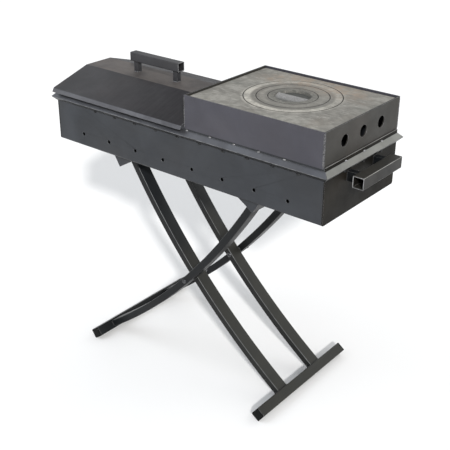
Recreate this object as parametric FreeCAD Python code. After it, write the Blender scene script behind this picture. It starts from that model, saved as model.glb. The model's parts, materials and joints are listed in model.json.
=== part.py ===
import FreeCAD, Part
import math
import os

from FreeCAD import Vector

# A folding charcoal brazier: a long firebox on two crossed leg frames, with a lift-off lid over its left half
# and a lift-off stove section with a cast-iron ring hob over its right half. Millimetres, +Z up, +X along the
# firebox towards the carrying handle, +Y from the front wall to the back wall.
# The shapes are drawn from the lower front left corner of the firebox. They are moved to the origin when
# written: the middle of the whole object's plan, on the floor.

# ---- driving dimensions -------------------------------------------------------------------------------
BOX_LENGTH = 900.0
BOX_WIDTH = 328.0
BOX_HEIGHT = 147.0
SHEET = 3.0
SHEET_BEND = 5.0

AIR_HOLE_COUNT = 8
AIR_HOLE_PITCH = 100.0
AIR_HOLE_HEIGHT = 36.0
AIR_HOLE_RADIUS = 5.0

RIM_LEG = 18.0
RIM_SHEET = 3.0
RIM_HEIGHT = 126.3

REST_GAP = 0.3

LID_LENGTH = 478.0
LID_SHEET = 2.0
LID_BEND = 8.0
LID_LIP_OUT = 18.0
LID_LIP_BOTTOM = 143.0
LID_SLOPE_OUT = 12.0
LID_SLOPE_BOTTOM = 154.0
LID_TOP = 192.0
LID_FLAT_WIDTH = 94.0
LID_END_INSET = 2.0

HANDLE_TUBE = 25.0
HANDLE_WALL = 2.0
HANDLE_LENGTH = 180.0
HANDLE_CORNER = 2.0
LID_HANDLE_MIDDLE = 234.5
LID_POST = 15.0
LID_POST_INSET = 9.0
LID_POST_HEIGHT = 30.0
CARRY_TUBE = 30.0
CARRY_GAP = 28.0
CARRY_BOTTOM = 82.5
CARRY_STANDOFF = 16.0
CARRY_STANDOFF_HEIGHT = 25.0
CARRY_STANDOFF_INSET = 22.0

STOVE_LEFT = 481.0
STOVE_RIGHT = 896.0
STOVE_OVERHANG = 5.0
STOVE_PLATE = 4.0
STOVE_BOTTOM = 145.0
STOVE_TOP = 232.0
VENT_RADIUS = 15.0
VENT_PITCH = 82.5
VENT_HEIGHT = 189.0
REST_RAIL_WIDTH = 25.0
REST_RAIL_SHEET = 3.0
LUG_LENGTH = 40.0
LUG_DEPTH = 10.0
LUG_CLEARANCE = 1.0

HOB_SINK = 5.0
HOB_THICK = 10.0
HOB_EDGE_GAP = 1.5
HOB_CENTRE = (684.0, 175.0)
RING_RADII = (125.0, 92.7, 63.5)
RING_STEP = 6.0
RING_GAP = 0.9
RING_LIFT = 0.4
LEDGE_WIDTH = 20.0
LEDGE_SHEET = 3.0
RECESS_RADIUS = 46.0
RECESS_DEPTH = 7.0
WEB_BACK = 2.0
WEB_FRONT = 34.0

PIVOT_X = 457.0
PIVOT_DROP = 316.5
LEG_ARC_RADIUS = 1929.0
LEG_ARC_TILT = 42.76
LEG_ABOVE_PIVOT = 364.0
LEG_BELOW_PIVOT = 397.0
LEG_WIDE = 39.6
LEG_THIN = 20.0
LEG_WALL = 2.0
LEG_CORNER = 2.5
TUBE_INSIDE_CORNER = 0.4
LEGS_MIDDLE = 153.0
OUTER_LEG_NEAR = 12.6
INNER_LEG_NEAR = 54.0
TOP_BAR_DEPTH = 10.0

FOOT_TUBE = 28.0
FOOT_LENGTH = 403.0
PLUG_CAP = 4.0
PLUG_INSERT = 14.0
PLUG_CLEARANCE = 0.2
PLUG_INSERT_CORNER = 1.0

BOLT_RADIUS = 5.0
BOLT_CLEARANCE = 0.05
BOLT_HEAD_RADIUS = 7.5
BOLT_HEAD_HEIGHT = 4.0
BOLT_TAIL = 3.0
NUT_RADIUS = 9.2
NUT_HEIGHT = 8.0
WASHER_RADIUS = 11.0
WASHER_THICK = 1.6
SIDE_PLAY = 0.2

SADDLE_LEG = 40.0
SADDLE_SHEET = 4.0
SADDLE_GAP = 0.4
SADDLE_INSET = 12.0
GUSSET = 4.0

# ---- derived places -----------------------------------------------------------------------------------
RIM_OUT = RIM_LEG / math.sqrt(2.0)
CARRY_OUT = CARRY_GAP + CARRY_TUBE
PIVOT_Z = -PIVOT_DROP
MIDDLE_Y = BOX_WIDTH / 2.0
OUTER_LEG_FAR = 2 * LEGS_MIDDLE - OUTER_LEG_NEAR - LEG_WIDE
INNER_LEG_FAR = 2 * LEGS_MIDDLE - INNER_LEG_NEAR - LEG_WIDE
FOOT_NEAR = LEGS_MIDDLE - FOOT_LENGTH / 2.0
FOOT_FAR = LEGS_MIDDLE + FOOT_LENGTH / 2.0
HOB_TOP = STOVE_TOP - HOB_SINK
HOB_BOTTOM = HOB_TOP - HOB_THICK
REST_Z = BOX_HEIGHT + REST_GAP
STOVE_FRONT = -STOVE_OVERHANG
STOVE_BACK = BOX_WIDTH + STOVE_OVERHANG
ALONG_Y = Vector(0, 1, 0)


def arc_point(angle, radius=LEG_ARC_RADIUS):
    """A point on the inner frame's leg arc, in the XZ plane, at an angle in degrees about its centre."""
    tilt = math.radians(LEG_ARC_TILT)
    turn = math.radians(angle)
    return Vector(
        PIVOT_X + LEG_ARC_RADIUS * math.cos(tilt) + radius * math.cos(turn),
        0.0,
        PIVOT_Z + LEG_ARC_RADIUS * math.sin(tilt) + radius * math.sin(turn),
    )


PIVOT_ANGLE = 180.0 + LEG_ARC_TILT
TOP_ANGLE = PIVOT_ANGLE - math.degrees(LEG_ABOVE_PIVOT / LEG_ARC_RADIUS)
FOOT_ANGLE = PIVOT_ANGLE + math.degrees(LEG_BELOW_PIVOT / LEG_ARC_RADIUS)


def along_leg(angle):
    """The unit direction down the inner leg at an angle of its arc."""
    turn = math.radians(angle)
    return Vector(-math.sin(turn), 0.0, math.cos(turn))


def outward(angle):
    """The unit direction from the arc's centre through the leg at an angle of its arc."""
    turn = math.radians(angle)
    return Vector(math.cos(turn), 0.0, math.sin(turn))


FOOT_CENTRE = arc_point(FOOT_ANGLE) + along_leg(FOOT_ANGLE) * (FOOT_TUBE / 2.0)
FOOT_TURN = math.radians(FOOT_ANGLE)
FOOT_SPREAD = abs(math.cos(FOOT_TURN)) + abs(math.sin(FOOT_TURN))
FOOT_REACH = (FOOT_TUBE / 2.0 - LEG_CORNER) * FOOT_SPREAD + LEG_CORNER
FLOOR_Z = FOOT_CENTRE.z - FOOT_REACH
FOOT_TUBE_TURN = 180.0 - FOOT_ANGLE
TO_ORIGIN = Vector(-(BOX_LENGTH + CARRY_OUT - RIM_OUT) / 2.0, -LEGS_MIDDLE, -FLOOR_Z)


# ---- building blocks ----------------------------------------------------------------------------------
def block(x0, x1, y0, y1, z0, z1):
    """A box between two corners."""
    return Part.makeBox(x1 - x0, y1 - y0, z1 - z0, Vector(x0, y0, z0))


def rod(centre, direction, radius, length):
    """A cylinder from a point along a direction."""
    return Part.makeCylinder(radius, length, centre, direction)


def prism(points, direction):
    """A solid from a closed outline of points, pushed along a vector."""
    outline = Part.makePolygon(points + [points[0]])
    return Part.Face(outline).extrude(direction)


def rounded_outline(wide, thin, corner):
    """A rectangle with round corners in the XY plane, centred on the origin."""
    a = wide / 2.0
    b = thin / 2.0
    edges = []
    corners = [(a - corner, b - corner, 0), (corner - a, b - corner, 90),
               (corner - a, corner - b, 180), (a - corner, corner - b, 270)]
    ends = []
    for x, y, start in corners:
        arc = Part.Arc(Part.Circle(Vector(x, y, 0), Vector(0, 0, 1), corner),
                       math.radians(start), math.radians(start + 90))
        edges.append(arc.toShape())
        ends.append((arc.StartPoint, arc.EndPoint))
    for i in range(4):
        edges.insert(2 * i + 1, Part.LineSegment(ends[i][1], ends[(i + 1) % 4][0]).toShape())
    return Part.Wire(edges)


def tube_section(wide, thin, wall, corner):
    """The ring-shaped cross-section of a rectangular tube, in the XY plane."""
    outer = Part.Face(rounded_outline(wide, thin, corner))
    inside_corner = max(corner - wall, TUBE_INSIDE_CORNER)
    inner = Part.Face(rounded_outline(wide - 2 * wall, thin - 2 * wall, inside_corner))
    return outer.cut(inner).Faces[0]


def square_tube(start, direction, length, size, wall, corner, turn=0.0):
    """A straight square tube from a point along a direction, turned about its own axis in degrees."""
    section = tube_section(size, size, wall, corner)
    tube = section.extrude(Vector(0, 0, length))
    tube.rotate(Vector(0, 0, 0), Vector(0, 0, 1), turn)
    tube.Placement = FreeCAD.Placement(start, FreeCAD.Rotation(Vector(0, 0, 1), direction)) * tube.Placement
    return tube


def bent_profile(points, sheet, bend, direction):
    """A folded sheet: outer outline from edge to edge, thickness to the left of the path, round bends."""
    inner = []
    for i, point in enumerate(points):
        sides = []
        for a, b in ((i - 1, i), (i, i + 1)):
            if a >= 0 and b < len(points):
                run = (points[b] - points[a]).normalize()
                sides.append(direction.cross(run).normalize())
        normal = sides[0] if len(sides) == 1 else (sides[0] + sides[1]).normalize()
        inner.append(point + normal * (sheet / normal.dot(sides[0])))
    solid = prism(points + inner[::-1], direction)
    for corners, radius in ((points[1:-1], bend), (inner[1:-1], bend - sheet)):
        chosen = [edge for edge in solid.Edges
                  if any(edge.Vertexes[0].Point.distanceToPoint(c) < 0.01
                         or edge.Vertexes[-1].Point.distanceToPoint(c) < 0.01 for c in corners)
                  and abs(edge.Length - direction.Length) < 0.01]
        solid = solid.makeFillet(radius, chosen)
    return solid


def drilled(solid, centre, direction, radius, length):
    """A solid with a round hole through it."""
    return solid.cut(rod(centre, direction, radius, length))


def mirrored(solid):
    """The other side's copy: reflected in the upright plane through the leg pivots."""
    return solid.mirror(Vector(PIVOT_X, 0, 0), Vector(1, 0, 0))


def write(name, shape):
    """Moves a shape to the object's origin and writes it as one named part."""
    placed = shape.copy()
    placed.translate(TO_ORIGIN)
    placed.exportStep(os.path.join("parts", name + ".step"))


# ---- leg frames ---------------------------------------------------------------------------------------
def leg(near_y):
    """One curved leg of the inner frame: a rectangular tube bent to a long arc, drilled for its pivot."""
    section = tube_section(LEG_THIN, LEG_WIDE, LEG_WALL, LEG_CORNER)
    section.translate(Vector(LEG_ARC_RADIUS, 0, 0))
    section.rotate(Vector(0, 0, 0), Vector(0, -1, 0), TOP_ANGLE)
    tube = section.revolve(Vector(0, 0, 0), Vector(0, -1, 0), FOOT_ANGLE - TOP_ANGLE)
    tube.translate(arc_point(0, 0) + Vector(0, near_y + LEG_WIDE / 2.0, 0))
    start = Vector(PIVOT_X, near_y - 1, PIVOT_Z)
    return drilled(tube, start, ALONG_Y, BOLT_RADIUS + BOLT_CLEARANCE, LEG_WIDE + 2)


def foot_bar():
    """The square tube across the feet, lying on one of its edges in line with the leg ends."""
    start = FOOT_CENTRE + Vector(0, FOOT_NEAR + PLUG_CAP, 0)
    length = FOOT_LENGTH - 2 * PLUG_CAP
    return square_tube(start, ALONG_Y, length, FOOT_TUBE, LEG_WALL, LEG_CORNER, FOOT_TUBE_TURN)


def foot_plugs():
    """The two plastic plugs in a foot bar's open ends: a cap outside and a smaller insert inside."""
    plugs = []
    insert = FOOT_TUBE - 2 * LEG_WALL - 2 * PLUG_CLEARANCE
    for end, inward in ((FOOT_NEAR, 1), (FOOT_FAR, -1)):
        parts = []
        for size, corner, first, length in ((FOOT_TUBE, LEG_CORNER, 0.0, PLUG_CAP),
                                            (insert, PLUG_INSERT_CORNER, PLUG_CAP, PLUG_INSERT)):
            solid = Part.Face(rounded_outline(size, size, corner)).extrude(Vector(0, 0, length))
            solid.rotate(Vector(0, 0, 0), Vector(0, 0, 1), FOOT_TUBE_TURN)
            at = FOOT_CENTRE + Vector(0, end + inward * first + min(inward, 0) * length, 0)
            turned = FreeCAD.Rotation(Vector(0, 0, 1), ALONG_Y)
            solid.Placement = FreeCAD.Placement(at, turned) * solid.Placement
            parts.append(solid)
        plugs.append(parts[0].fuse(parts[1]).removeSplitter())
    return Part.makeCompound([plug.Solids[0] for plug in plugs])


def top_bar(near_y, far_y):
    """The flat bar that ties the two leg tops together, between two legs' inner faces."""
    top = arc_point(TOP_ANGLE)
    across = outward(TOP_ANGLE) * (LEG_THIN / 2.0)
    down = along_leg(TOP_ANGLE) * TOP_BAR_DEPTH
    start = Vector(0, near_y + LEG_WIDE, 0)
    outline = [top - across, top + across, top + across + down, top - across + down]
    return prism([point + start for point in outline], Vector(0, far_y - near_y - LEG_WIDE, 0))


def write_leg_frames():
    """The inner frame leans from the upper left to the lower right, the outer frame the other way."""
    sides = (("inner", INNER_LEG_NEAR, INNER_LEG_FAR, lambda shape: shape),
             ("outer", OUTER_LEG_NEAR, OUTER_LEG_FAR, mirrored))
    for frame, near_y, far_y, turned in sides:
        write(frame + "_leg_near", turned(leg(near_y)))
        write(frame + "_leg_far", turned(leg(far_y)))
        write(frame + "_foot_bar", turned(foot_bar()))
        write(frame + "_foot_plugs", turned(foot_plugs()))
        write(frame + "_top_bar", turned(top_bar(near_y, far_y)))


# ---- pivots -------------------------------------------------------------------------------------------
def pivot_bolt(head_y, tip_y):
    """A round-headed bolt along +Y: a low dome outside the first tube and a shank through both tubes."""
    dome_radius = (BOLT_HEAD_RADIUS ** 2 + BOLT_HEAD_HEIGHT ** 2) / (2 * BOLT_HEAD_HEIGHT)
    centre = Vector(PIVOT_X, head_y + dome_radius - BOLT_HEAD_HEIGHT, PIVOT_Z)
    ball = Part.makeSphere(dome_radius, centre)
    head_start = Vector(PIVOT_X, head_y - BOLT_HEAD_HEIGHT, PIVOT_Z)
    slab = rod(head_start, ALONG_Y, BOLT_HEAD_RADIUS + 1, BOLT_HEAD_HEIGHT)
    shank = rod(Vector(PIVOT_X, head_y, PIVOT_Z), ALONG_Y, BOLT_RADIUS, tip_y - head_y)
    return ball.common(slab).fuse(shank).removeSplitter().Solids[0]


def washer(near_y):
    """A flat washer round a pivot bolt."""
    at = Vector(PIVOT_X, near_y, PIVOT_Z)
    disc = rod(at, ALONG_Y, WASHER_RADIUS, WASHER_THICK)
    return drilled(disc, at - ALONG_Y, ALONG_Y, BOLT_RADIUS + BOLT_CLEARANCE, WASHER_THICK + 2)


def nut(near_y):
    """A hexagon nut on a pivot bolt."""
    at = Vector(PIVOT_X, near_y, PIVOT_Z)
    corners = []
    for i in range(6):
        turn = math.radians(60 * i)
        corners.append(at + Vector(math.cos(turn), 0, math.sin(turn)) * NUT_RADIUS)
    body = prism(corners, ALONG_Y * NUT_HEIGHT)
    return drilled(body, at - ALONG_Y, ALONG_Y, BOLT_RADIUS + BOLT_CLEARANCE, NUT_HEIGHT + 2)


def write_pivots():
    """Each side has one bolt through an inner and an outer leg, a spacer washer, an end washer and a nut."""
    near_end = INNER_LEG_NEAR + LEG_WIDE + SIDE_PLAY
    far_end = OUTER_LEG_FAR + LEG_WIDE
    tail = WASHER_THICK + NUT_HEIGHT + BOLT_TAIL
    bolts = [pivot_bolt(OUTER_LEG_NEAR, near_end + tail),
             pivot_bolt(INNER_LEG_FAR - SIDE_PLAY, far_end + tail)]
    washers = [washer(OUTER_LEG_NEAR + LEG_WIDE), washer(near_end),
               washer(OUTER_LEG_FAR - WASHER_THICK), washer(far_end)]
    nuts = [nut(near_end + WASHER_THICK), nut(far_end + WASHER_THICK)]
    write("pivot_bolts", Part.makeCompound(bolts))
    write("pivot_washers", Part.makeCompound(washers))
    write("pivot_nuts", Part.makeCompound(nuts))


# ---- firebox ------------------------------------------------------------------------------------------
def firebox_tray():
    """The front wall, floor and back wall, folded from one sheet, with air holes low in each wall."""
    path = [(BOX_WIDTH, BOX_HEIGHT), (BOX_WIDTH, 0), (0, 0), (0, BOX_HEIGHT)]
    outline = [Vector(SHEET, y, z) for y, z in path]
    tray = bent_profile(outline[::-1], SHEET, SHEET_BEND, Vector(BOX_LENGTH - 2 * SHEET, 0, 0))
    for i in range(AIR_HOLE_COUNT):
        start = Vector(AIR_HOLE_PITCH * (i + 1), -1, AIR_HOLE_HEIGHT)
        tray = drilled(tray, start, ALONG_Y, AIR_HOLE_RADIUS, BOX_WIDTH + 2)
    return tray


def firebox_end(x0):
    """An end wall, covering the tray's open end, with the tray's round lower corners."""
    plate = block(x0, x0 + SHEET, 0, BOX_WIDTH, 0, BOX_HEIGHT)
    lower = [edge for edge in plate.Edges
             if abs(edge.BoundBox.ZMax) < 0.01 and abs(edge.Length - SHEET) < 0.01]
    return plate.makeFillet(SHEET_BEND, lower)


def rim_bar(length):
    """A mitred angle iron along +X with its corner pointing outwards, to -Y."""
    step = RIM_SHEET * math.sqrt(2.0)
    section = [(0, RIM_OUT), (-RIM_OUT, 0), (0, -RIM_OUT),
               (0, step - RIM_OUT), (step - RIM_OUT, 0), (0, RIM_OUT - step)]
    points = [Vector(-RIM_OUT, y, RIM_HEIGHT + z) for y, z in section]
    bar = prism(points, Vector(length + 2 * RIM_OUT, 0, 0))
    plan = [Vector(-RIM_OUT, -RIM_OUT, 0), Vector(length + RIM_OUT, -RIM_OUT, 0),
            Vector(length, 0, 0), Vector(0, 0, 0)]
    return bar.common(prism(plan, Vector(0, 0, BOX_HEIGHT)))


def write_rims():
    """One mitred bar on each of the four walls, in turn round the box."""
    places = (("rim_front", BOX_LENGTH, 0, Vector(0, 0, 0)),
              ("rim_right", BOX_WIDTH, 90, Vector(BOX_LENGTH, 0, 0)),
              ("rim_back", BOX_LENGTH, 180, Vector(BOX_LENGTH, BOX_WIDTH, 0)),
              ("rim_left", BOX_WIDTH, 270, Vector(0, BOX_WIDTH, 0)))
    for name, length, turn, corner in places:
        bar = rim_bar(length)
        bar.rotate(Vector(0, 0, 0), Vector(0, 0, 1), turn)
        bar.translate(corner)
        write(name, bar)


def saddle_corner():
    """The lower corner of the left saddle, just clear of the inner legs' end faces."""
    top = arc_point(TOP_ANGLE)
    up_leg = along_leg(TOP_ANGLE) * -1
    across = outward(TOP_ANGLE) * -1
    drop = SADDLE_LEG * up_leg.z
    on_plane = top + up_leg * SADDLE_GAP
    return on_plane + across * ((-drop - on_plane.z) / across.z), up_leg, across


def saddle_angle():
    """A steel angle under the firebox floor, corner down: one side lies along the legs, one caps them."""
    corner, up_leg, across = saddle_corner()
    section = [corner, corner + across * SADDLE_LEG, corner + across * SADDLE_LEG + up_leg * SADDLE_SHEET,
               corner + (across + up_leg) * SADDLE_SHEET,
               corner + up_leg * SADDLE_LEG + across * SADDLE_SHEET, corner + up_leg * SADDLE_LEG]
    start = Vector(0, SADDLE_INSET + GUSSET, 0)
    bar = prism([point + start for point in section], Vector(0, BOX_WIDTH - 2 * (SADDLE_INSET + GUSSET), 0))
    above = block(0, BOX_LENGTH, 0, BOX_WIDTH, 0, SADDLE_LEG)
    return bar.cut(above)


def saddle_gussets():
    """The triangular plates that close both ends of a saddle and tie it to the firebox floor."""
    corner, up_leg, across = saddle_corner()
    left = corner + up_leg * (-corner.z / up_leg.z)
    right = corner + across * (-corner.z / across.z)
    plates = []
    for y in (SADDLE_INSET, BOX_WIDTH - SADDLE_INSET - GUSSET):
        shift = Vector(0, y, 0)
        plates.append(prism([corner + shift, right + shift, left + shift], Vector(0, GUSSET, 0)))
    return Part.makeCompound(plates)


def write_firebox():
    """The welded firebox with its rims, the two saddles under its floor and its carrying handle."""
    write("firebox_tray", firebox_tray())
    write("firebox_end_left", firebox_end(0))
    write("firebox_end_right", firebox_end(BOX_LENGTH - SHEET))
    write_rims()
    write("saddle_angle_left", saddle_angle())
    write("saddle_angle_right", mirrored(saddle_angle()))
    write("saddle_gussets_left", saddle_gussets())
    write("saddle_gussets_right", mirrored(saddle_gussets()))
    carry_middle = CARRY_BOTTOM + CARRY_TUBE / 2.0
    bar_x = BOX_LENGTH + CARRY_OUT - CARRY_TUBE / 2.0
    bar_start = Vector(bar_x, MIDDLE_Y - HANDLE_LENGTH / 2.0, carry_middle)
    bar = square_tube(bar_start, ALONG_Y, HANDLE_LENGTH, CARRY_TUBE, HANDLE_WALL, HANDLE_CORNER)
    write("carry_handle_bar", bar)
    offset = HANDLE_LENGTH / 2.0 - CARRY_STANDOFF_INSET
    bottom = carry_middle - CARRY_STANDOFF_HEIGHT / 2.0
    stand_offs = []
    for y in (MIDDLE_Y - offset, MIDDLE_Y + offset - CARRY_STANDOFF):
        stand_offs.append(block(BOX_LENGTH, BOX_LENGTH + CARRY_GAP, y, y + CARRY_STANDOFF,
                                bottom, bottom + CARRY_STANDOFF_HEIGHT))
    write("carry_handle_standoffs", Part.makeCompound(stand_offs))


# ---- lid ----------------------------------------------------------------------------------------------
def lid_outline():
    """The lid's outer outline across the firebox, front lip to back lip, as (y, z) pairs."""
    half = BOX_WIDTH / 2.0
    right_half = [(half + LID_LIP_OUT, LID_LIP_BOTTOM), (half + LID_SLOPE_OUT, LID_SLOPE_BOTTOM),
                  (LID_FLAT_WIDTH / 2.0, LID_TOP)]
    front = [(MIDDLE_Y - y, z) for y, z in right_half]
    back = [(MIDDLE_Y + y, z) for y, z in right_half[::-1]]
    return front + back


def lid_sheet():
    """The folded cover: a flat top, two slopes and two flared lips."""
    points = [Vector(0, y, z) for y, z in lid_outline()]
    return bent_profile(points[::-1], LID_SHEET, LID_BEND, Vector(LID_LENGTH, 0, 0))


def lid_end(x0, cover):
    """An end plate under the cover, standing on the firebox walls."""
    y0 = -LID_LIP_OUT
    y1 = BOX_WIDTH + LID_LIP_OUT
    plate = block(x0, x0 + LID_SHEET, y0, y1, REST_Z, LID_TOP)
    points = [Vector(x0 - 1, y, z) for y, z in lid_outline()]
    space = prism(points, Vector(LID_SHEET + 2, 0, 0))
    inside = plate.common(space).cut(cover)
    return max(inside.Solids, key=lambda solid: solid.Volume)


def write_lid():
    """The lift-off lid and its square-tube handle on two posts."""
    cover = lid_sheet()
    write("lid_cover", cover)
    write("lid_end_left", lid_end(LID_END_INSET / 2.0, cover))
    write("lid_end_right", lid_end(LID_LENGTH - LID_END_INSET - LID_SHEET, cover))
    bar_left = LID_HANDLE_MIDDLE - HANDLE_LENGTH / 2.0
    bar_bottom = LID_TOP + LID_POST_HEIGHT
    bar_start = Vector(bar_left, MIDDLE_Y, bar_bottom + HANDLE_TUBE / 2.0)
    bar = square_tube(bar_start, Vector(1, 0, 0), HANDLE_LENGTH, HANDLE_TUBE, HANDLE_WALL, HANDLE_CORNER)
    write("lid_handle_bar", bar)
    posts = []
    for x in (bar_left + LID_POST_INSET, bar_left + HANDLE_LENGTH - LID_POST_INSET - LID_POST):
        posts.append(block(x, x + LID_POST, MIDDLE_Y - LID_POST / 2.0, MIDDLE_Y + LID_POST / 2.0,
                           LID_TOP, bar_bottom))
    write("lid_handle_posts", Part.makeCompound(posts))


# ---- stove section ------------------------------------------------------------------------------------
def stove_right_wall():
    """The end wall of the stove section with its three vent holes."""
    wall = block(STOVE_RIGHT - STOVE_PLATE, STOVE_RIGHT, STOVE_FRONT + STOVE_PLATE, STOVE_BACK - STOVE_PLATE,
                 REST_Z, STOVE_TOP)
    for i in (-1, 0, 1):
        start = Vector(STOVE_RIGHT - STOVE_PLATE - 1, MIDDLE_Y + i * VENT_PITCH, VENT_HEIGHT)
        wall = drilled(wall, start, Vector(1, 0, 0), VENT_RADIUS, STOVE_PLATE + 2)
    return wall


def plate_ledges():
    """Four flat bars welded inside the stove walls, level, for the hob plate to lie on."""
    x0 = STOVE_LEFT + STOVE_PLATE
    x1 = STOVE_RIGHT - STOVE_PLATE
    y0 = STOVE_FRONT + STOVE_PLATE
    y1 = STOVE_BACK - STOVE_PLATE
    top = HOB_BOTTOM - REST_GAP
    bottom = top - LEDGE_SHEET
    w = LEDGE_WIDTH
    bars = [block(x0, x1, y0, y0 + w, bottom, top), block(x0, x1, y1 - w, y1, bottom, top),
            block(x0, x0 + w, y0 + w, y1 - w, bottom, top), block(x1 - w, x1, y0 + w, y1 - w, bottom, top)]
    return Part.makeCompound(bars)


def rest_rail(back):
    """A flat bar inside a long stove wall that stands on the firebox wall, with two lugs below it."""
    x0 = STOVE_LEFT + STOVE_PLATE
    x1 = STOVE_RIGHT - STOVE_PLATE
    y0 = STOVE_FRONT + STOVE_PLATE
    rail = block(x0, x1, y0, y0 + REST_RAIL_WIDTH, REST_Z, REST_Z + REST_RAIL_SHEET)
    lug_y = SHEET + LUG_CLEARANCE
    for x in (x0 + LUG_LENGTH, x1 - 2 * LUG_LENGTH):
        rail = rail.fuse(block(x, x + LUG_LENGTH, lug_y, lug_y + SHEET, REST_Z - LUG_DEPTH, REST_Z))
    rail = rail.removeSplitter()
    return rail.mirror(Vector(0, MIDDLE_Y, 0), ALONG_Y) if back else rail


def write_stove():
    """The lift-off stove section: four welded walls, the hob plate's ledges and the rails it stands on."""
    front = block(STOVE_LEFT, STOVE_RIGHT, STOVE_FRONT, STOVE_FRONT + STOVE_PLATE, STOVE_BOTTOM, STOVE_TOP)
    back = block(STOVE_LEFT, STOVE_RIGHT, STOVE_BACK - STOVE_PLATE, STOVE_BACK, STOVE_BOTTOM, STOVE_TOP)
    left = block(STOVE_LEFT, STOVE_LEFT + STOVE_PLATE, STOVE_FRONT + STOVE_PLATE, STOVE_BACK - STOVE_PLATE,
                 REST_Z, STOVE_TOP)
    write("stove_front", front)
    write("stove_back", back)
    write("stove_left", left)
    write("stove_right", stove_right_wall())
    write("stove_plate_ledges", plate_ledges())
    write("stove_rest_rail_front", rest_rail(False))
    write("stove_rest_rail_back", rest_rail(True))


# ---- hob ----------------------------------------------------------------------------------------------
def stepped_disc(radius):
    """A disc with a wider upper half, so that it hangs in the stepped hole round it."""
    middle = Vector(HOB_CENTRE[0], HOB_CENTRE[1], 0)
    half = HOB_BOTTOM + HOB_THICK / 2.0
    upper = rod(middle + Vector(0, 0, half + RING_LIFT), Vector(0, 0, 1), radius - RING_GAP,
                HOB_TOP - half - RING_LIFT)
    lower = rod(middle + Vector(0, 0, HOB_BOTTOM + RING_LIFT), Vector(0, 0, 1), radius - RING_STEP - RING_GAP,
                HOB_TOP - HOB_BOTTOM - RING_LIFT)
    return upper.fuse(lower).removeSplitter()


def stepped_hole(radius):
    """The space that a stepped disc hangs in, open above and below."""
    middle = Vector(HOB_CENTRE[0], HOB_CENTRE[1], 0)
    half = HOB_BOTTOM + HOB_THICK / 2.0
    upper = rod(middle + Vector(0, 0, half), Vector(0, 0, 1), radius, HOB_THICK)
    lower = rod(middle + Vector(0, 0, HOB_BOTTOM - 1), Vector(0, 0, 1), radius - RING_STEP, HOB_THICK)
    return upper.fuse(lower)


def hob_disc():
    """The middle disc: a round recess for a lifting hook, with a web across it that slopes to the front."""
    disc = stepped_disc(RING_RADII[2])
    x, y = HOB_CENTRE
    floor = HOB_TOP - RECESS_DEPTH
    recess = rod(Vector(x, y, floor), Vector(0, 0, 1), RECESS_RADIUS, HOB_THICK)
    left = x - RECESS_RADIUS
    section = [Vector(left, y + WEB_BACK, HOB_TOP), Vector(left, y + WEB_BACK, floor),
               Vector(left, y - WEB_FRONT, floor)]
    web = prism(section, Vector(2 * RECESS_RADIUS, 0, 0))
    return disc.cut(recess.cut(web)).removeSplitter().Solids[0]


def write_hob():
    """The cast hob: a plate with a round hole, two rings and a disc, each hanging in the one round it."""
    x0 = STOVE_LEFT + STOVE_PLATE + HOB_EDGE_GAP
    x1 = STOVE_RIGHT - STOVE_PLATE - HOB_EDGE_GAP
    y0 = STOVE_FRONT + STOVE_PLATE + HOB_EDGE_GAP
    y1 = STOVE_BACK - STOVE_PLATE - HOB_EDGE_GAP
    plate = block(x0, x1, y0, y1, HOB_BOTTOM, HOB_TOP).cut(stepped_hole(RING_RADII[0]))
    write("hob_plate", plate)
    write("hob_ring_outer", stepped_disc(RING_RADII[0]).cut(stepped_hole(RING_RADII[1])))
    write("hob_ring_inner", stepped_disc(RING_RADII[1]).cut(stepped_hole(RING_RADII[2])))
    write("hob_disc", hob_disc())


os.makedirs("parts", exist_ok=True)
write_leg_frames()
write_pivots()
write_firebox()
write_lid()
write_stove()
write_hob()
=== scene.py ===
import json
import math
import random

import bmesh
import bpy
from mathutils import Matrix, Vector, noise


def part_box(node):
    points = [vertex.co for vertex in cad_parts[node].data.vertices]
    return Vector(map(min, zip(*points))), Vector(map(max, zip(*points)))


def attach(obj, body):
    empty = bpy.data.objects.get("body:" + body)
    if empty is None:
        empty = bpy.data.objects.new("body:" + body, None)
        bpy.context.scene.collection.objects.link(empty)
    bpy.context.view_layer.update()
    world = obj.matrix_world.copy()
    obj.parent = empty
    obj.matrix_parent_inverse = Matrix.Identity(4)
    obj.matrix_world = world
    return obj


# The looks of a folding charcoal brazier: dark oiled steel sheet and tube, a ground cast-iron ring hob, and
# the weld beads that the solids leave out. Metres, +Z up, +X towards the carrying handle, +Y towards the back
# wall.

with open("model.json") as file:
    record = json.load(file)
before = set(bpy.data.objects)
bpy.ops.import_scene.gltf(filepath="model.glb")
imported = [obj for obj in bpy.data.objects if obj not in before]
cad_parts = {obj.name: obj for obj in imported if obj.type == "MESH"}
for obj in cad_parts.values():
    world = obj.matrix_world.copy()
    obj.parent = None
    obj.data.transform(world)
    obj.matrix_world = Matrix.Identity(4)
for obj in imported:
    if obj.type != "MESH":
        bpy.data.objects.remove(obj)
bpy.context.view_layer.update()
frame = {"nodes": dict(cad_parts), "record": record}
nodes = frame["nodes"]
rng = random.Random(11)

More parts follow.
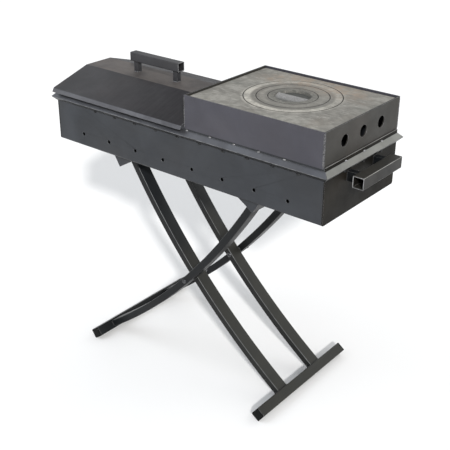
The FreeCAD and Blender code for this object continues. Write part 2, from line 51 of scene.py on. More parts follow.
MM = 0.001
RIM_FLANGE = 12.7 * MM       # half of a rim bar's height
RING_GAP = 0.9 * MM          # the gap round each hob ring, where soot cakes
RECESS_RADIUS = 46 * MM      # the cast recess in the hob's disc
HANDLED_RADIUS = 105 * MM    # inside it the hob is darkened by use
WORN_BANDS = (               # inner radius, outer radius and strength of the hob's pale worn rings
    (106 * MM, 124 * MM, 0.75),
    (124 * MM, 131 * MM, 0.5),
    (72 * MM, 84 * MM, 0.2),
)
EDGE_WIDTH = 0.45 * MM       # the rounding of an edge, unless WIDE_EDGES has the node
WIDE_EDGES = {
    "hob_plate": 0.5 * MM, "hob_ring_outer": 0.5 * MM, "hob_ring_inner": 0.5 * MM, "hob_disc": 0.5 * MM,
    "rim_front": 0.9 * MM, "rim_right": 0.9 * MM, "rim_back": 0.9 * MM, "rim_left": 0.9 * MM,
    "firebox_end_right": 0.7 * MM, "carry_handle_bar": 1.0 * MM, "lid_handle_bar": 0.6 * MM,
    "lid_handle_posts": 0.8 * MM,
}
ALONG, ACROSS = (1, 0, 0), (0, 1, 0)


def row(start, pitch, count):
    """Evenly spaced places along an axis."""
    return [start + pitch * i for i in range(count)]


def low(node):
    """A node's lowest corner."""
    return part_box(node)[0]


def high(node):
    """A node's highest corner."""
    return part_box(node)[1]


def middle(node):
    """The middle of a node's box."""
    return (low(node) + high(node)) / 2


HOB_CENTRE = middle("hob_ring_outer")
HOB_TOP = high("hob_plate").z
RING_RADII = [(high(node).x - low(node).x) / 2 for node in ("hob_ring_outer", "hob_ring_inner", "hob_disc")]
BOX_LOW = low("firebox_end_left")
BOX_HIGH = high("firebox_end_right")


# ---- materials -------------------------------------------------------------------------------------------
class Graph:
    """One procedural material, built up from patterns that are fixed to the object's own frame."""

    def __init__(self, name):
        self.material = bpy.data.materials.new(name)
        self.material.use_nodes = True
        self.tree = self.material.node_tree
        self.shader = self.tree.nodes["Principled BSDF"]
        self.place = self.tree.nodes.new("ShaderNodeTexCoord").outputs["Object"]

    def node(self, kind, links=None, **settings):
        made = self.tree.nodes.new(kind)
        for key, value in settings.items():
            setattr(made, key, value)
        for key, value in (links or {}).items():
            self.feed(made.inputs[key], value)
        return made

    def feed(self, socket, value):
        if isinstance(value, bpy.types.NodeSocket):
            self.tree.links.new(value, socket)
        else:
            socket.default_value = value

    def stretched(self, scale, turn=(0.0, 0.0, 0.0)):
        links = {"Vector": self.place, "Scale": scale, "Rotation": turn}
        return self.node("ShaderNodeMapping", links).outputs["Vector"]

    def noise(self, scale, detail=3.0, rough=0.55, at=None, distortion=0.0):
        links = {"Vector": at or self.place, "Scale": scale, "Detail": detail, "Roughness": rough,
                 "Distortion": distortion}
        return self.node("ShaderNodeTexNoise", links).outputs["Fac"]

    def cells(self, scale):
        links = {"Vector": self.place, "Scale": scale}
        return self.node("ShaderNodeTexVoronoi", links).outputs["Distance"]

    def span(self, value, start, end, low_value=0.0, high_value=1.0):
        """Passes smoothly from low_value to high_value while value goes from start to end."""
        links = {"Value": value, "From Min": start, "From Max": end, "To Min": low_value,
                 "To Max": high_value}
        return self.node("ShaderNodeMapRange", links, interpolation_type="SMOOTHSTEP").outputs["Result"]

    def math(self, operation, a, b=0.0):
        made = self.node("ShaderNodeMath", operation=operation)
        self.feed(made.inputs[0], a)
        self.feed(made.inputs[1], b)
        return made.outputs[0]

    def product(self, first, *others):
        for other in others:
            first = self.math("MULTIPLY", first, other)
        return first

    def parts(self, vector):
        """A vector's X, Y and Z, as the outputs of one node."""
        return self.node("ShaderNodeSeparateXYZ", {0: vector}).outputs

    def mix(self, factor, a, b, blend="MIX"):
        made = self.node("ShaderNodeMix", data_type="RGBA", blend_type=blend)
        self.feed(made.inputs["Factor"], factor)
        self.feed(made.inputs["A"], a if isinstance(a, bpy.types.NodeSocket) else (*a, 1.0))
        self.feed(made.inputs["B"], b if isinstance(b, bpy.types.NodeSocket) else (*b, 1.0))
        return made.outputs["Result"]

    def radius(self, centre):
        """Distance from an upright axis."""
        apart = self.node("ShaderNodeVectorMath", {0: self.place, 1: tuple(centre)}, operation="SUBTRACT")
        links = {0: apart.outputs[0], 1: (1.0, 1.0, 0.0)}
        flat = self.node("ShaderNodeVectorMath", links, operation="MULTIPLY")
        return self.node("ShaderNodeVectorMath", {0: flat.outputs[0]}, operation="LENGTH").outputs["Value"]

    def bump(self, layers):
        """Stacks (height, depth in metres) layers into one normal."""
        normal = None
        for height, depth in layers:
            links = {"Height": height, "Distance": depth, "Strength": 1.0}
            if normal is not None:
                links["Normal"] = normal
            normal = self.node("ShaderNodeBump", links).outputs["Normal"]
        self.feed(self.shader.inputs["Normal"], normal)

    def finish(self, colour, roughness, metallic=0.0, specular=0.5):
        """Feeds the shader and gives back the finished material."""
        self.feed(self.shader.inputs["Base Color"], colour)
        self.feed(self.shader.inputs["Roughness"], roughness)
        self.shader.inputs["Metallic"].default_value = metallic
        self.shader.inputs["Specular IOR Level"].default_value = specular
        return self.material


# Near-black painted shade for the undersides of the steel.
UNDERSIDE_SHADE = (0.004, 0.004, 0.0042)


def steel(name, dark, light, warm, warmth, rough, streak=(1.0, 1.0, 14.0), tint_ramp=None, metallic=0.25,
          rubbed_and_highlight=None, painted_slope_light=(), specular=0.5):
    """Oiled hot-rolled steel: patches of scale from dark to light, a warm tint in places, rolling streaks,
    fine grain and painted shade on the undersides. streak says how tight the streaks are along X, Y and Z.
    tint_ramp is (axis, start, end, colour): a tint that deepens along the object. rubbed_and_highlight is
    (axis, corner colour, side colour): side is painted shade on the faces that look along that axis, and
    corner a painted highlight, broken up by wear, on the round corners between them and the others. Each
    painted_slope_light entry is (from, to, colour, amount): painted light on faces whose normal's Z passes
    from one value to the other."""
    g = Graph(name)
    patches = g.span(g.noise(7.0, 4.0, 0.6, distortion=0.6), 0.3, 0.72)
    streaks = g.noise(9.0, 3.0, 0.6, g.stretched(streak))
    grain = g.noise(420.0, 2.0, 0.7)
    specks = g.span(g.cells(170.0), 0.02, 0.085, 1.0, 0.0)
    colour = g.mix(patches, dark, light)
    warm_part = g.span(g.noise(3.1, 2.0, 0.5, distortion=1.1), 0.42, 0.75, 0.0, warmth)
    colour = g.mix(warm_part, colour, warm)
    # A tint ramp along one axis: on the lid it is painted shade, darkening towards the stove end; on the
    # frame it makes the steel lighter and warmer towards the bottom.
    if tint_ramp:
        axis, ramp_start, ramp_end, ramp_colour = tint_ramp
        waver = g.span(g.noise(5.0, 3.0), 0.3, 0.7, -0.06, 0.06)
        along = g.math("ADD", g.parts(g.place)[axis], waver)
        colour = g.mix(g.span(along, ramp_start, ramp_end, 0.0, 0.85), colour, ramp_colour)
    colour = g.mix(g.span(streaks, 0.25, 0.75, 0.0, 0.22), colour, light)
    colour = g.mix(g.span(grain, 0.3, 0.75, 0.0, 0.16), colour, dark)

    facing = g.parts(g.node("ShaderNodeNewGeometry").outputs["Normal"])
    # Painted light: faces are made lighter or darker by how far their normal looks up.
    for start, end, tint, amount in painted_slope_light:
        patchy = g.span(g.noise(11.0, 5.0, 0.7), 0.3, 0.7, 0.45 * amount, amount)
        colour = g.mix(g.product(g.span(facing["Z"], start, end), patchy), colour, tint)
    # Painted highlight on the round corners between faces, broken up by wear, and painted shade on the faces
    # that look along the axis.
    if rubbed_and_highlight:
        axis, corner_glint_colour, side_shade_colour = rubbed_and_highlight
        across = g.math("ABSOLUTE", facing[axis])
        corner = g.product(g.span(across, 0.2, 0.5), g.span(across, 0.7, 0.97, 1.0, 0.0))
        corner_glint_and_wear = g.product(corner, g.span(g.noise(40.0, 4.0, 0.7), 0.3, 0.65, 0.35, 1.0))
        if side_shade_colour:
            colour = g.mix(g.span(across, 0.85, 0.99, 0.0, 0.75), colour, side_shade_colour)
        colour = g.mix(corner_glint_and_wear, colour, corner_glint_colour)
    # Painted shade: faces that look downwards are darkened towards near-black.
    colour = g.mix(g.span(facing["Z"], -0.55, -0.1, 0.75, 0.0), colour, UNDERSIDE_SHADE)

    rare = g.product(specks, g.span(g.noise(31.0, 1.0), 0.6, 0.75))
    bright = tuple(min(1.0, 2.6 * c) for c in light)
    colour = g.mix(g.product(rare, 0.35), colour, bright)
    spread = g.span(g.noise(15.0, 4.0, 0.65), 0.25, 0.75, rough - 0.07, rough + 0.08)
    g.bump([(g.noise(900.0, 2.0, 0.6), 0.012 * MM), (g.noise(60.0, 2.0), 0.05 * MM), (streaks, 0.06 * MM)])
    return g.finish(colour, spread, metallic=metallic, specular=specular)


def edge_wear_and_glint(name, dark, light):
    """The edges of the sheets and tubes: scuffed bare metal where the scale is thin, on the steel lighter
    than the faces as a painted highlight along the edge lines.
    """
    g = Graph(name)
    rubbed_and_highlight = g.span(g.noise(55.0, 4.0, 0.7), 0.35, 0.65)
    colour = g.mix(rubbed_and_highlight, dark, light)
    g.bump([(g.noise(700.0, 2.0), 0.02 * MM)])
    return g.finish(colour, g.span(rubbed_and_highlight, 0.0, 1.0, 0.42, 0.3), metallic=0.55, specular=0.5)


def weld_metal(name, dark, light):
    """A weld bead: rippled, part shiny and part burnt."""
    g = Graph(name)
    burnt = g.span(g.noise(260.0, 3.0, 0.6), 0.35, 0.68)
    colour = g.mix(burnt, light, dark)
    g.bump([(g.noise(520.0, 3.0, 0.6), 0.12 * MM)])
    return g.finish(colour, g.span(burnt, 0.0, 1.0, 0.32, 0.55), metallic=0.6, specular=0.5)


def stained_iron(g):
    """The hob's colour, with grey-green and brownish patches, blotches and scuffs, and its roughness."""
    stains = g.span(g.noise(9.5, 5.0, 0.62, distortion=0.9), 0.3, 0.7)
    colour = g.mix(stains, (0.178, 0.171, 0.153), (0.300, 0.291, 0.264))
    brown = g.noise(6.0, 4.0, 0.6, g.stretched((1.6, 0.7, 1.0), (0.0, 0.0, 0.6)))
    colour = g.mix(g.span(brown, 0.5, 0.74, 0.0, 0.55), colour, (0.225, 0.188, 0.152))
    green = g.noise(13.0, 3.0, 0.6, distortion=0.4)
    colour = g.mix(g.span(green, 0.54, 0.78, 0.0, 0.4), colour, (0.170, 0.195, 0.176))
    blotches = g.noise(52.0, 4.0, 0.7)
    colour = g.mix(g.span(blotches, 0.38, 0.66, 0.0, 0.5), colour, (0.125, 0.120, 0.108))
    scuffs = g.noise(34.0, 4.0, 0.7, g.stretched((1.0, 5.0, 1.0), (0.0, 0.0, -0.5)))
    colour = g.mix(g.span(scuffs, 0.52, 0.7, 0.0, 0.45), colour, (0.45, 0.44, 0.41))
    return colour, g.span(stains, 0.0, 1.0, 0.66, 0.78)


def worn_by_use(g, colour, from_axis, place):
    """What use does round the rings: a dark middle, pale worn bands, a heat stain behind and soot in gaps."""
    darkened = g.span(g.noise(30.0, 4.0, 0.7), 0.3, 0.7, 0.3, 0.75)
    used = g.span(from_axis, HANDLED_RADIUS - 7 * MM, HANDLED_RADIUS + 7 * MM, darkened, 0.0)
    colour = g.mix(used, colour, (0.150, 0.144, 0.130))
    for near_edge, far_edge, amount in WORN_BANDS:
        inner_side = g.span(from_axis, near_edge - 4 * MM, near_edge + 4 * MM)
        outer_side = g.span(from_axis, far_edge - 5 * MM, far_edge + 3 * MM, 1.0, 0.0)
        fine = g.span(g.noise(34.0, 5.0, 0.8), 0.38, 0.6, 0.2, 1.0)
        broad = g.span(g.noise(7.0, 2.0), 0.4, 0.6, 0.5, 1.0)
        band = g.product(inner_side, outer_side, g.product(fine, broad), amount)
        colour = g.mix(band, colour, (0.56, 0.535, 0.475))
    behind = g.product(g.span(place["Y"], HOB_CENTRE.y + 30 * MM, HOB_CENTRE.y + 100 * MM),
                       g.span(from_axis, 150 * MM, 210 * MM, 1.0, 0.0))
    heat_stain = g.product(behind, g.span(g.noise(38.0, 5.0, 0.75), 0.4, 0.62, 0.1, 0.75))
    colour = g.mix(heat_stain, colour, (0.29, 0.232, 0.182))
    for ring in RING_RADII:
        from_gap = g.math("ABSOLUTE", g.math("SUBTRACT", from_axis, ring))
        caked = g.span(g.noise(60.0, 3.0, 0.6), 0.3, 0.6, 0.45, 0.95)
        line = g.span(from_gap, RING_GAP - 0.2 * MM, RING_GAP + 1.0 * MM, 1.0, 0.0)
        colour = g.mix(g.product(line, caked), colour, (0.03, 0.029, 0.026))
    return colour


def hob_iron(name, recess):
    """Ground cast iron, with wear and stains. recess adds the looks of the disc's cast recess: a darker
    mottled ring round it, a rough pale web, and painted shade in the sunk half behind the web and low in the
    recess."""
    g = Graph(name)
    from_axis = g.radius(HOB_CENTRE)
    place = g.parts(g.place)
    colour, roughness = stained_iron(g)
    colour = worn_by_use(g, colour, from_axis, place)
    pores = g.span(g.cells(520.0), 0.04, 0.2, 1.0, 0.0)
    colour = g.mix(g.product(pores, 0.35), colour, (0.09, 0.085, 0.078))
    layers = [(g.noise(640.0, 3.0, 0.7), 0.05 * MM), (pores, -0.05 * MM), (g.noise(120.0, 3.0), 0.12 * MM)]
    if recess:
        inside = g.span(from_axis, RECESS_RADIUS - 2.5 * MM, RECESS_RADIUS + 0.5 * MM, 1.0, 0.0)
        # A darker, mottled ring round the recess.
        recess_surround = g.span(from_axis, RECESS_RADIUS - 2 * MM, RECESS_RADIUS + 16 * MM, 0.8, 0.35)
        darker_round_recess = g.product(recess_surround, g.span(g.noise(95.0, 5.0, 0.8), 0.4, 0.6))
        colour = g.mix(darker_round_recess, colour, (0.085, 0.088, 0.078))
        # Painted shade: the sunk half behind the web and the low floor of the recess are darkened.
        behind_web = g.span(place["Y"], HOB_CENTRE.y + 1 * MM, HOB_CENTRE.y + 4 * MM)
        below_face = g.span(place["Z"], HOB_TOP - 1.2 * MM, HOB_TOP - 0.4 * MM, 1.0, 0.0)
        deep_recess_shade = g.span(place["Z"], HOB_TOP - 7 * MM, HOB_TOP - 3 * MM, 1.0, 0.0)
        sunk = g.math("MAXIMUM", g.product(behind_web, below_face), deep_recess_shade)
        lumps = g.noise(330.0, 4.0, 0.6)
        colour = g.mix(g.product(inside, g.span(lumps, 0.3, 0.7, 0.2, 0.65)), colour, (0.36, 0.355, 0.365))
        # Painted shade laid over the recess.
        colour = g.mix(g.product(inside, g.product(sunk, 0.86)), colour, (0.045, 0.047, 0.042))
        layers.append((g.product(lumps, inside), 0.6 * MM))
    g.bump(layers)
    return g.finish(colour, roughness, metallic=0.05, specular=0.25)


def moulded_plastic(name):
    """Matt black moulded plastic with a fine spark texture."""
    g = Graph(name)
    grain = g.noise(1100.0, 3.0, 0.6)
    colour = g.mix(g.span(grain, 0.35, 0.7), (0.002, 0.0025, 0.0025), (0.006, 0.0065, 0.0065))
    dust = g.span(g.noise(40.0, 4.0, 0.7), 0.55, 0.8, 0.0, 0.2)
    colour = g.mix(dust, colour, (0.035, 0.034, 0.032))
    g.bump([(grain, 0.05 * MM)])
    return g.finish(colour, g.span(dust, 0.0, 0.2, 0.5, 0.65), specular=0.08)


def dark_fastener(name):
    """Dark oxide bolts, washers and nuts, rubbed bright in places."""
    g = Graph(name)
    rubbed_and_highlight = g.span(g.noise(210.0, 3.0, 0.6), 0.48, 0.7)
    colour = g.mix(rubbed_and_highlight, (0.035, 0.036, 0.039), (0.16, 0.16, 0.165))
    g.bump([(g.noise(900.0, 2.0), 0.02 * MM)])
    return g.finish(colour, g.span(rubbed_and_highlight, 0.0, 1.0, 0.4, 0.27), metallic=0.7, specular=0.5)


NO_STREAKS = (1.0, 1.0, 1.0)
materials = {
    "firebox_steel": steel(
        "firebox_scale", (0.019, 0.0215, 0.026), (0.031, 0.035, 0.042), (0.034, 0.032, 0.031), 0.35, 0.46),
    # Frame: painted highlight along the legs' round corners, painted shade on their faces that look along Y,
    # and lighter and warmer towards the bottom.
    "frame_steel": steel(
        "frame_scale", (0.008, 0.0095, 0.0115), (0.0175, 0.0195, 0.0215), (0.028, 0.0255, 0.0215), 0.75, 0.4,
        streak=(3.0, 3.0, 3.0), rubbed_and_highlight=("Y", (0.09, 0.094, 0.096), (0.003, 0.0036, 0.004)),
        tint_ramp=("Z", 0.5, 0.26, (0.033, 0.0325, 0.027)), specular=0.3),
    # Lid: painted shade darkening it towards the stove end, and painted light on its flat top and on its lip.
    "lid_steel": steel(
        "lid_scale", (0.043, 0.043, 0.046), (0.059, 0.058, 0.062), (0.066, 0.054, 0.052), 0.6, 0.56,
        streak=(14.0, 1.0, 1.0), tint_ramp=("X", -0.38, -0.02, (0.009, 0.0075, 0.0095)),
        painted_slope_light=[(0.965, 0.995, (0.160, 0.141, 0.129), 0.72), (0.75, 0.6, (0.145, 0.148, 0.163), 0.8)],
        specular=0.3),
    "stove_steel": steel(
        "stove_scale", (0.044, 0.043, 0.054), (0.060, 0.059, 0.073), (0.058, 0.053, 0.059), 0.45, 0.5,
        streak=(1.0, 1.0, 12.0)),
    "handle_steel": steel(
        "handle_scale", (0.031, 0.031, 0.035), (0.050, 0.050, 0.054), (0.052, 0.046, 0.042), 0.4, 0.44,
        streak=(1.0, 9.0, 9.0)),
    "black_plastic": moulded_plastic("plug_plastic"),
    "bolt_steel": dark_fastener("bolt_oxide"),
    "hob_iron": hob_iron("hob_cast_iron", False),
}
# End plates: a darker copy of the box steel with its reflection cut down, as painted shade on the ends, and
# painted highlight on their upward faces.
end_shade_scale = steel(
    "end_shade_scale", (0.007, 0.0065, 0.0055), (0.0135, 0.0125, 0.0105), (0.022, 0.0175, 0.0125), 0.7, 0.55,
    metallic=0.0, painted_slope_light=[(0.9, 0.98, (0.36, 0.355, 0.345), 0.9)], specular=0.1)
# Stove end walls: a darker copy of the stove steel, as painted shade.
stove_end_shade_scale = steel(
    "stove_end_shade_scale", (0.029, 0.028, 0.025), (0.041, 0.039, 0.035), (0.046, 0.040, 0.034), 0.6, 0.5,
    metallic=0.1, specular=0.25)
# Carry handle: painted highlight on its round corners and on its upward faces.
carry_scale = steel(
    "carry_scale", (0.0085, 0.0083, 0.0073), (0.0165, 0.016, 0.014), (0.023, 0.019, 0.015), 0.6, 0.42,
    metallic=0.1, rubbed_and_highlight=("Z", (0.34, 0.335, 0.32), None),
    painted_slope_light=[(0.9, 0.98, (0.050, 0.048, 0.042), 0.6)], specular=0.25)
# Stand-offs: near-black, as painted shade between the end wall and the handle bar.
standoff_shade_scale = steel(
    "standoff_shade_scale", (0.003, 0.004, 0.005), (0.008, 0.010, 0.012), (0.014, 0.013, 0.012), 0.3, 0.5,
    metallic=0.0, specular=0.2)
# Outer legs and foot bar: a darker copy of the frame steel, as painted shade, with a faint painted highlight
# on the round corners.
outer_leg_shade_scale = steel(
    "outer_leg_shade_scale", (0.0038, 0.0045, 0.0053), (0.0085, 0.0098, 0.011), (0.013, 0.012, 0.0105), 0.5, 0.42,
    streak=(3.0, 3.0, 3.0), metallic=0.0, rubbed_and_highlight=("Y", (0.045, 0.047, 0.049), None), specular=0.2)
rim_scale = steel(
    "rim_scale", (0.075, 0.077, 0.086), (0.125, 0.128, 0.140), (0.12, 0.112, 0.108), 0.4, 0.42,
    streak=NO_STREAKS, metallic=0.7)
# Rim ends: a much lighter copy of the rim steel, as painted highlight on their upper faces.
rim_end_glint_scale = steel(
    "rim_end_glint_scale", (0.165, 0.168, 0.158), (0.26, 0.265, 0.25), (0.22, 0.205, 0.185), 0.4, 0.4,
    streak=NO_STREAKS, metallic=0.7)
node_materials = {
    "hob_disc": hob_iron("hob_disc_cast_iron", True),
    "firebox_end_left": end_shade_scale,
    "firebox_end_right": end_shade_scale,
    "stove_left": stove_end_shade_scale,
    "stove_right": stove_end_shade_scale,
    "carry_handle_bar": carry_scale,
    "carry_handle_standoffs": standoff_shade_scale,
    "outer_leg_near": outer_leg_shade_scale,
    "outer_leg_far": outer_leg_shade_scale,
    "outer_foot_bar": outer_leg_shade_scale,
    "rim_front": rim_scale,
    "rim_back": rim_scale,
    "rim_left": rim_end_glint_scale,
    "rim_right": rim_end_glint_scale,
}
# Edge materials for the bevels: scuffed bare metal, lighter than the faces as a painted highlight along the
# edge lines; the second and third are brighter glints for the handles, the right end and the rims. The last
# is the hob's dark, soot-caked edge.
worn_glint_edge = edge_wear_and_glint("worn_glint_edge", (0.06, 0.06, 0.064), (0.20, 0.20, 0.205))
bright_glint_edge = edge_wear_and_glint("bright_glint_edge", (0.20, 0.20, 0.205), (0.50, 0.50, 0.50))
rim_glint_edge = edge_wear_and_glint("rim_glint_edge", (0.09, 0.09, 0.094), (0.26, 0.26, 0.265))
sooty_edge = edge_wear_and_glint("sooty_edge", (0.018, 0.017, 0.0155), (0.06, 0.058, 0.052))
bead_metal = weld_metal("bead_metal", (0.040, 0.039, 0.041), (0.17, 0.17, 0.175))
# Copies of the weld metal as painted light: a lighter one, a painted highlight, for the tacks on top of the
# rims, and a darker one, painted shade, for beads under the rims and in shaded corners.
lit_tack_metal = weld_metal("lit_tack_metal", (0.13, 0.13, 0.135), (0.42, 0.42, 0.43))
shaded_bead_metal = weld_metal("shaded_bead_metal", (0.010, 0.010, 0.011), (0.035, 0.035, 0.037))
kind_edges = {"hob_iron": sooty_edge, "black_plastic": materials["black_plastic"]}
node_edges = {"carry_handle_bar": bright_glint_edge, "lid_handle_bar": bright_glint_edge,
              "firebox_end_right": bright_glint_edge, "rim_front": rim_glint_edge, "rim_back": rim_glint_edge}


# ---- the CAD nodes ---------------------------------------------------------------------------------------
def dress(node, material, edge, width):
    """Gives a CAD node its material and a rounded edge line in an edge material, on the steel a lighter one:
    scuffed metal with a painted highlight.
    """
    shown = nodes[node]
    for slot in shown.material_slots:
        slot.material = material
    shown.data.materials.append(edge)
    joined = shown.modifiers.new("joined", "WELD")
    joined.merge_threshold = 0.01 * MM
    rounded = shown.modifiers.new("rounded", "BEVEL")
    rounded.width = width
    rounded.segments = 2
    rounded.limit_method = "ANGLE"
    rounded.angle_limit = math.radians(40)
    rounded.material = len(shown.material_slots) - 1
    rounded.harden_normals = True


for part in frame["record"]["subparts"]:
    node, kind = part["node"], part["material_slot"]
    edge = node_edges.get(node, kind_edges.get(kind, worn_glint_edge))
    dress(node, node_materials.get(node, materials[kind]), edge, WIDE_EDGES.get(node, EDGE_WIDTH))


# ---- weld beads ------------------------------------------------------------------------------------------
def mesh_object(name, bm, material, body):
    """Makes a finished piece from a bmesh, smooth-shaded, riding on its body."""
    mesh = bpy.data.meshes.new(name)
    bmesh.ops.recalc_face_normals(bm, faces=bm.faces)
    bm.to_mesh(mesh)
    bm.free()
    for face in mesh.polygons:
        face.use_smooth = True
    mesh.materials.append(material)
    piece = bpy.data.objects.new(name, mesh)
    bpy.context.scene.collection.objects.link(piece)
    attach(piece, body)


RIPPLE = 3.2 * MM            # the length of one ripple of a bead
STEPS_PER_RIPPLE = 4
BEAD_SIDES = 10


def bead(bm, start, end, out, radius):
    """A run of weld: overlapping ripples along a line, half sunk in the corner that it fills."""
    run = end - start
    along = run.normalized()
    up = (out - along * out.dot(along)).normalized()
    side = along.cross(up)
    ripples = max(2, round(run.length / RIPPLE))
    steps = ripples * STEPS_PER_RIPPLE
    angles = [2 * math.pi * k / BEAD_SIDES for k in range(BEAD_SIDES)]
    rings = []
    for i in range(steps + 1):
        t = i / steps
        spot = start + run * t
        ripple = abs(math.sin(math.pi * (t * ripples + 0.15)))
        rounded_end = max(0.15, math.sqrt(max(0.0, 1 - (2 * t - 1) ** 24)))
        wobble = 0.14 * noise.noise(spot * 190)
        r = radius * (0.78 + 0.3 * ripple + wobble) * rounded_end
        centre = spot + side * (0.25 * radius * noise.noise(spot * 90 + Vector((7, 1, 3))))
        rings.append([bm.verts.new(centre + up * (r * math.cos(a)) + side * (1.15 * r * math.sin(a)))
                      for a in angles])
    for first, second in zip(rings, rings[1:]):
        for k in range(BEAD_SIDES):
            after = (k + 1) % BEAD_SIDES
            bm.faces.new((first[k], first[after], second[after], second[k]))
    bm.faces.new(rings[0])
    bm.faces.new(rings[-1][::-1])


def tack(bm, centre, along, out, length, radius):
    """One short tack: a single rough lump."""
    made = bmesh.ops.create_icosphere(bm, subdivisions=2, radius=1.0)["verts"]
    side = along.cross(out).normalized()
    shift = Vector((rng.random(), rng.random(), rng.random())) * 9
    for vert in made:
        p = vert.co * (1 + 0.22 * noise.noise(vert.co * 1.7 + shift))
        vert.co = centre + along * (p.x * length / 2) + out * (p.y * radius) + side * (p.z * radius)


def welds(name, body, material, runs=(), tacks=()):
    """Makes one object that holds a joint's bead runs and tacks."""
    bm = bmesh.new()
    for start, end, out, radius in runs:
        bead(bm, Vector(start), Vector(end), Vector(out), radius)
    for centre, along, out, length, radius in tacks:
        tack(bm, Vector(centre), Vector(along), Vector(out).normalized(), length, radius)
    mesh_object(name, bm, material, body)


def stove_welds():
    """The four upright corner seams of the stove section."""
    a, b = low("stove_front"), high("stove_back")
    radius, sunk = 1.9 * MM, 1.2 * MM
    for label, x, y, out in (("front_right", b.x, a.y, (1, -1, 0)), ("front_left", a.x, a.y, (-1, -1, 0)),
                             ("back_right", b.x, b.y, (1, 1, 0)), ("back_left", a.x, b.y, (-1, 1, 0))):
        inside = Vector(out) * -sunk
        foot = Vector((x, y, a.z + 2 * MM)) + inside
        top = Vector((x, y, b.z - 1.5 * MM)) + inside
        welds("stove_seam_" + label, "stove", bead_metal, runs=[(foot, top, out, radius)])


def rim_welds():
    """Short tacks along both edges of every rim bar: light above as a painted highlight, dark below as
    painted shade, staggered on the long bars.
    """
    top = middle("rim_front").z + RIM_FLANGE + 0.2 * MM
    bottom = middle("rim_front").z - RIM_FLANGE - 0.6 * MM
    proud = 0.6 * MM
    stagger = 40 * MM
    long_row = row(BOX_LOW.x + 112 * MM, 75 * MM, 10)
    short_row = row(BOX_LOW.y + 85 * MM, 82.5 * MM, 3)
    rows = {"front": ([(x, BOX_LOW.y) for x in long_row], ALONG, (0, -1)),
            "back": ([(x, BOX_HIGH.y) for x in long_row], ALONG, (0, 1)),
            "right": ([(BOX_HIGH.x, y) for y in short_row], ACROSS, (1, 0)),
            "left": ([(BOX_LOW.x, y) for y in short_row], ACROSS, (-1, 0))}
    for side, (spots, along, (ox, oy)) in rows.items():
        above = [((x + ox * proud, y + oy * proud, top), along, (ox, oy, 1),
                  (7 + 3 * rng.random()) * MM, 2.7 * MM) for x, y in spots]
        shift = stagger if along == ALONG else 0.0
        below = [((x + shift + ox * proud, y + oy * proud, bottom), along, (ox, oy, -1),
                  (9 + 4 * rng.random()) * MM, 3.0 * MM) for x, y in spots]
        welds("rim_tacks_above_" + side, "firebox", lit_tack_metal, tacks=above)
        welds("rim_tacks_below_" + side, "firebox", shaded_bead_metal, tacks=below)


def firebox_corner_welds():
    """The seams where the end walls close the tray, below the rims."""
    radius, sunk, wall = 1.0 * MM, 0.5 * MM, 3 * MM
    bottom = BOX_LOW.z + 7 * MM
    top = middle("rim_front").z - RIM_FLANGE - 2 * MM
    for label, x, lean in (("right", BOX_HIGH.x - wall, -0.5), ("left", BOX_LOW.x + wall, 0.5)):
        runs = []
        for face, out in ((BOX_LOW.y, -1), (BOX_HIGH.y, 1)):
            y = face - out * sunk
            runs.append(((x, y, bottom), (x, y, top), (lean, out, 0), radius))
        welds("firebox_seam_" + label, "firebox", shaded_bead_metal, runs=runs)


def around_post(x0, x1, y0, y1, z, radius, up):
    """Bead runs round the foot (up = 1) or head (up = -1) of an upright square post."""
    return [((x0, y0, z), (x1, y0, z), (0, -1, up), radius), ((x1, y0, z), (x1, y1, z), (1, 0, up), radius),
            ((x1, y1, z), (x0, y1, z), (0, 1, up), radius), ((x0, y1, z), (x0, y0, z), (-1, 0, up), radius)]


def lid_handle_welds():
    """Beads at the foot and head of both lid handle posts."""
    a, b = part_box("lid_handle_posts")
    wide = b.y - a.y
    foot_radius, head_radius = 1.7 * MM, 1.2 * MM
    feet, heads = [], []
    for x in (a.x, b.x - wide):
        feet += around_post(x, x + wide, a.y, b.y, a.z, foot_radius, 1)
        heads += around_post(x, x + wide, a.y, b.y, b.z, head_radius, -1)
    welds("lid_post_feet_bead", "lid", bead_metal, runs=feet)
    welds("lid_post_heads_bead", "lid", shaded_bead_metal, runs=heads)


def carry_handle_welds():
    """Beads round both stand-offs where they meet the end wall and the handle bar."""
    a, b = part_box("carry_handle_standoffs")
    thick = 16 * MM
    for label, x, lean, radius in (("wall", a.x, 1, 1.4 * MM), ("bar", b.x, -1, 1.3 * MM)):
        runs = []
        for y in (a.y, b.y - thick):
            y2 = y + thick
            runs += [((x, y, a.z), (x, y, b.z), (lean, -1, 0), radius),
                     ((x, y2, b.z), (x, y2, a.z), (lean, 1, 0), radius),
                     ((x, y, b.z), (x, y2, b.z), (lean, 0, 1), radius),
                     ((x, y2, a.z), (x, y, a.z), (lean, 0, -1), radius)]
        welds("carry_handle_bead_" + label, "firebox", shaded_bead_metal, runs=runs)


def foot_welds():
    """Beads where each leg stands on its foot bar."""
    radius, corner, tip_height = 1.5 * MM, 3 * MM, 16 * MM
    for side, sign in (("inner", 1), ("outer", -1)):
        bar_low, bar_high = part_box(side + "_foot_bar")
        for where in ("near", "far"):
            vertices = nodes[side + "_leg_" + where].data.vertices
            foot = min(v.co.z for v in vertices)
            tip = [v.co for v in vertices if v.co.z < foot + tip_height]
            outer = max(tip, key=lambda p: sign * p.x)
            inner = min(tip, key=lambda p: p.z)
            a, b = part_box(side + "_leg_" + where)
            runs = [((p.x, a.y + corner, p.z), (p.x, b.y - corner, p.z), out, radius)
                    for p, out in ((outer, (sign * 0.6, 0, 1)), (inner, (-sign, 0, -0.3)))]
            runs += [((inner.x, y, inner.z), (outer.x, y, outer.z), (0, out, 0.2), radius)
                     for y, out in ((a.y, -1), (b.y, 1))]
            welds(f"{side}_foot_bead_{where}", side + "_frame", shaded_bead_metal, runs=runs)


stove_welds()
rim_welds()
firebox_corner_welds()
lid_handle_welds()
carry_handle_welds()
foot_welds()


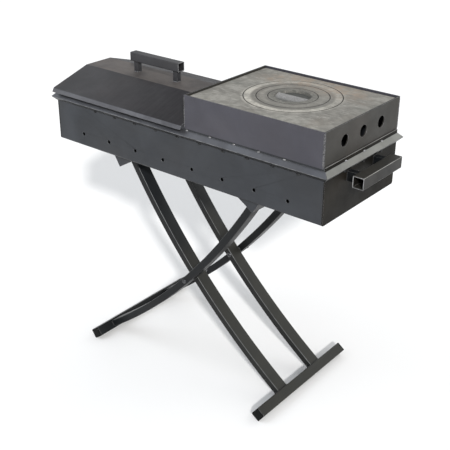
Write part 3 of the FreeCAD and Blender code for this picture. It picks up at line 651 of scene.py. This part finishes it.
# ---- floor, lights and camera ----------------------------------------------------------------------------
FLOOR_REACH = 40.0
BACKDROP_GLOW = 1.1          # the surroundings as the camera sees them
SURROUNDINGS_GLOW = 0.66     # the surroundings as they light the object
SENSOR_WIDTH = 36.0
LENS = 69.69
CAMERA_PLACE = (1.3806, -1.7010, 1.5135)
CAMERA_AZIMUTH, CAMERA_ELEVATION, CAMERA_ROLL = 38.74, 26.64, 0.43


def build_floor():
    """A plain pale floor with the faintest unevenness, well beyond every view."""
    bm = bmesh.new()
    corners = ((-1, -1), (1, -1), (1, 1), (-1, 1))
    bm.faces.new([bm.verts.new((x * FLOOR_REACH, y * FLOOR_REACH, 0.0)) for x, y in corners])
    mesh = bpy.data.meshes.new("floor")
    bm.to_mesh(mesh)
    bm.free()
    g = Graph("floor_paint")
    pale = g.mix(g.noise(1.3, 2.0), (0.91, 0.91, 0.91), (0.925, 0.925, 0.925))
    mesh.materials.append(g.finish(pale, 0.85, specular=0.1))
    floor = bpy.data.objects.new("floor", mesh)
    bpy.context.scene.collection.objects.link(floor)


def toward(azimuth, elevation):
    """The unit direction to a place at an azimuth (0 is the front, 90 the right) and an elevation."""
    a, e = math.radians(azimuth), math.radians(elevation)
    return Vector((math.sin(a) * math.cos(e), -math.cos(a) * math.cos(e), math.sin(e)))


def lamp(name, azimuth, elevation, energy, colour, angle):
    """A far-off light: even over the whole floor, with highlights and shadow edges as soft as its angle."""
    light = bpy.data.lights.new(name, "SUN")
    light.energy = energy
    light.color = colour
    light.angle = math.radians(angle)
    holder = bpy.data.objects.new(name, light)
    bpy.context.scene.collection.objects.link(holder)
    holder.rotation_euler = toward(azimuth, elevation).to_track_quat("Z", "Y").to_euler()


def build_light():
    """Even white surroundings, a soft key from behind the camera, a cool light at the left and one behind."""
    world = bpy.data.worlds.new("studio")
    bpy.context.scene.world = world
    world.use_nodes = True
    tree = world.node_tree
    tree.nodes.clear()
    seen = tree.nodes.new("ShaderNodeBackground")
    seen.inputs["Color"].default_value = (1.0, 1.0, 1.0, 1.0)
    seen.inputs["Strength"].default_value = BACKDROP_GLOW
    lit = tree.nodes.new("ShaderNodeBackground")
    lit.inputs["Color"].default_value = (0.97, 0.985, 1.0, 1.0)
    lit.inputs["Strength"].default_value = SURROUNDINGS_GLOW
    path = tree.nodes.new("ShaderNodeLightPath")
    blend = tree.nodes.new("ShaderNodeMixShader")
    out = tree.nodes.new("ShaderNodeOutputWorld")
    tree.links.new(path.outputs["Is Camera Ray"], blend.inputs["Fac"])
    tree.links.new(lit.outputs[0], blend.inputs[1])
    tree.links.new(seen.outputs[0], blend.inputs[2])
    tree.links.new(blend.outputs[0], out.inputs["Surface"])
    lamp("key", azimuth=45.5, elevation=30.5, energy=2.6, colour=(1.0, 0.985, 0.965), angle=3.5)
    lamp("cool_side", azimuth=-50.0, elevation=42.0, energy=0.5, colour=(0.82, 0.9, 1.0), angle=50.0)
    lamp("back_right", azimuth=147.0, elevation=38.0, energy=0.35, colour=(1.0, 0.98, 0.94), angle=50.0)


def build_camera():
    """The camera at the photograph's viewing angle."""
    azimuth, roll = math.radians(CAMERA_AZIMUTH), math.radians(CAMERA_ROLL)
    back = toward(CAMERA_AZIMUTH, CAMERA_ELEVATION)
    right = Vector((math.cos(azimuth), math.sin(azimuth), 0.0))
    up = back.cross(right)
    turned_right = right * math.cos(roll) + up * math.sin(roll)
    turned_up = up * math.cos(roll) - right * math.sin(roll)
    data = bpy.data.cameras.new("camera")
    data.sensor_width = SENSOR_WIDTH
    data.lens = LENS
    data.clip_end = 5 * FLOOR_REACH
    camera = bpy.data.objects.new("camera", data)
    bpy.context.scene.collection.objects.link(camera)
    turn = Matrix((turned_right, turned_up, back)).transposed().to_4x4()
    camera.matrix_world = Matrix.Translation(CAMERA_PLACE) @ turn
    bpy.context.scene.camera = camera


build_floor()
build_light()
build_camera()
bpy.context.scene.view_settings.view_transform = "Standard"
